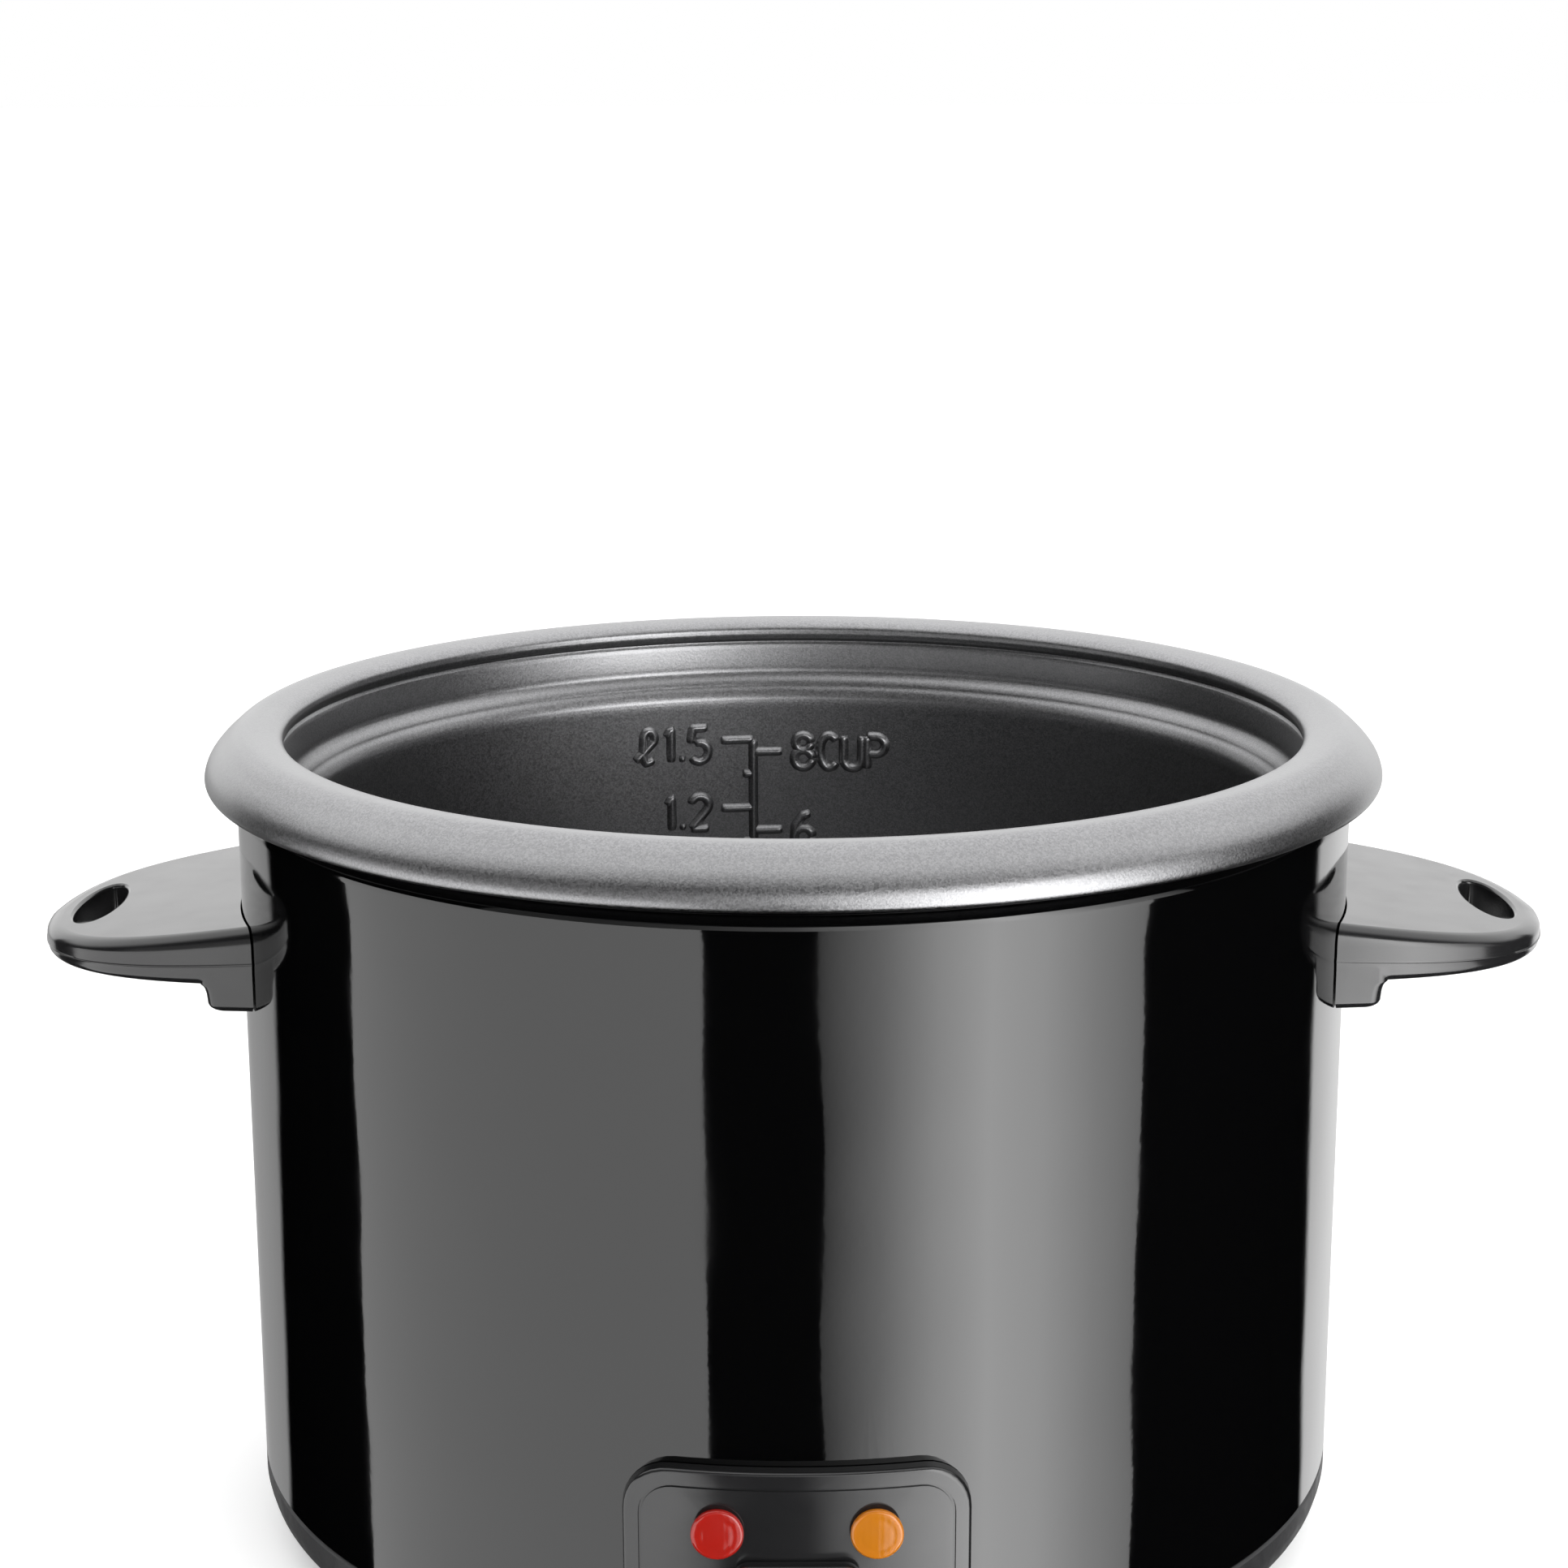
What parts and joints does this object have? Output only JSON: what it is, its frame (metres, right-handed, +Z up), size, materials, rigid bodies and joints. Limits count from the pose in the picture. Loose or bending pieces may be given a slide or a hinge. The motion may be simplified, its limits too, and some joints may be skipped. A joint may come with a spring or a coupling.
{
  "type": "rice cooker",
  "caption": "Round electric rice cooker: gloss black drum, side handles, grey coated lift-out pot with a rolled rim and level marks, switch key, heating plate and thermostat.",
  "frame": {"origin": "on the floor, under the middle of the drum, at the bottom of the feet", "axes": "+Z up, -Y to the front where the switch key is, +X to the right handle"},
  "size_m": [0.3268, 0.252, 0.178],
  "materials": {
    "coated_metal": "grey non-stick coating with fine metallic flake, satin",
    "black_paint": "high gloss black stove paint",
    "black_gloss_plastic": "polished moulded black plastic",
    "dark_plastic": "fine moulded texture",
    "foot_rubber": "matt",
    "plated_steel": "zinc plated, slightly dull",
    "liner_steel": "drawn sheet, satin",
    "cast_plate": "cast, top face turned smooth",
    "brass_parts": "bright",
    "ferrite_core": "sintered, matt",
    "red_lens": "clear red moulding",
    "amber_lens": "clear amber moulding",
    "lamp_glass": "clear bulb glass",
    "white_ceramic": "unglazed steatite",
    "heater_mica": "pressed mica sheet",
    "wire_white": "silicone sleeve",
    "wire_blue": "silicone sleeve",
    "wire_green": "silicone sleeve",
    "wire_red": "silicone sleeve"
  },
  "bodies": {
    "root": {"bottom_cover": "dark_plastic", "control_panel": "black_gloss_plastic", "cook_lamp": "lamp_glass", "cook_lamp_lens": "red_lens", "cover_screw_1": "plated_steel", "cover_screw_2": "plated_steel", "cover_screw_3": "plated_steel", "foot_1": "foot_rubber", "foot_2": "foot_rubber", "foot_3": "foot_rubber", "foot_4": "foot_rubber", "fuse_clip": "plated_steel", "handle_screw_left_a": "plated_steel", "handle_screw_left_b": "plated_steel", "handle_screw_right_a": "plated_steel", "handle_screw_right_b": "plated_steel", "heating_element": "plated_steel", "heating_plate": "cast_plate", "inlet_blade_earth": "brass_parts", "inlet_blade_line": "brass_parts", "inlet_blade_neutral": "brass_parts", "inlet_screw_1": "plated_steel", "inlet_screw_2": "plated_steel", "inner_liner": "liner_steel", "keep_warm_band": "heater_mica", "left_handle": "black_gloss_plastic", "lever_bracket": "plated_steel", "lever_pivot_pin": "plated_steel", "micro_switch": "dark_plastic", "outer_casing": "black_paint", "plate_leg_1": "plated_steel", "plate_leg_2": "plated_steel", "plate_leg_3": "plated_steel", "plate_screw_1": "plated_steel", "plate_screw_2": "plated_steel", "plate_screw_3": "plated_steel", "power_inlet": "dark_plastic", "right_handle": "black_gloss_plastic", "sensor_bracket": "plated_steel", "terminal_block": "white_ceramic", "thermal_fuse": "plated_steel", "warm_lamp": "lamp_glass", "warm_lamp_lens": "amber_lens", "wire_earth": "wire_green", "wire_lamps": "wire_red", "wire_line": "wire_white", "wire_neutral": "wire_blue", "wire_switch": "wire_red"},
    "pot": {"inner_pot": "coated_metal"},
    "cook_switch_arm": {"switch_key": "black_gloss_plastic", "switch_lever": "plated_steel"},
    "thermostat": {"sensor_cap": "cast_plate", "sensor_ferrite": "ferrite_core", "sensor_spring": "plated_steel"},
    "magnet_unit": {"magnet": "ferrite_core", "magnet_holder": "brass_parts", "magnet_spring": "plated_steel"},
    "plunger": {"micro_switch_plunger": "white_ceramic"}
  },
  "joints": [
    {"name": "pot_lift", "type": "slide", "parent": "root", "child": "pot", "axis": [0, 0, 1], "range_m": [0, 0.15]},
    {"name": "cook_switch", "type": "hinge", "parent": "root", "child": "cook_switch_arm", "pos_m": [0, -0.045, 0.0195], "axis": [1, 0, 0], "range_deg": [0, 7], "stiffness_Nm_per_rad": 0.6, "springref_deg": -6.88},
    {"name": "thermostat_press", "type": "slide", "parent": "root", "child": "thermostat", "axis": [0, 0, 1], "range_m": [-0.002, 0], "stiffness_N_per_m": 500, "springref_m": 0.004, "deforming": ["sensor_spring"]},
    {"name": "magnet_lift", "type": "slide", "parent": "thermostat", "child": "magnet_unit", "axis": [0, 0, 1], "range_m": [0, 0.0055], "deforming": ["magnet_spring"]},
    {"name": "plunger_press", "type": "slide", "parent": "root", "child": "plunger", "axis": [0, 0, 1], "range_m": [0, 0.0019]}
  ],
  "couplings": [
    {"joint": "magnet_lift", "follows": "cook_switch", "m_per_rad": 0.045},
    {"joint": "plunger_press", "follows": "cook_switch", "m_per_rad": 0.015}
  ]
}
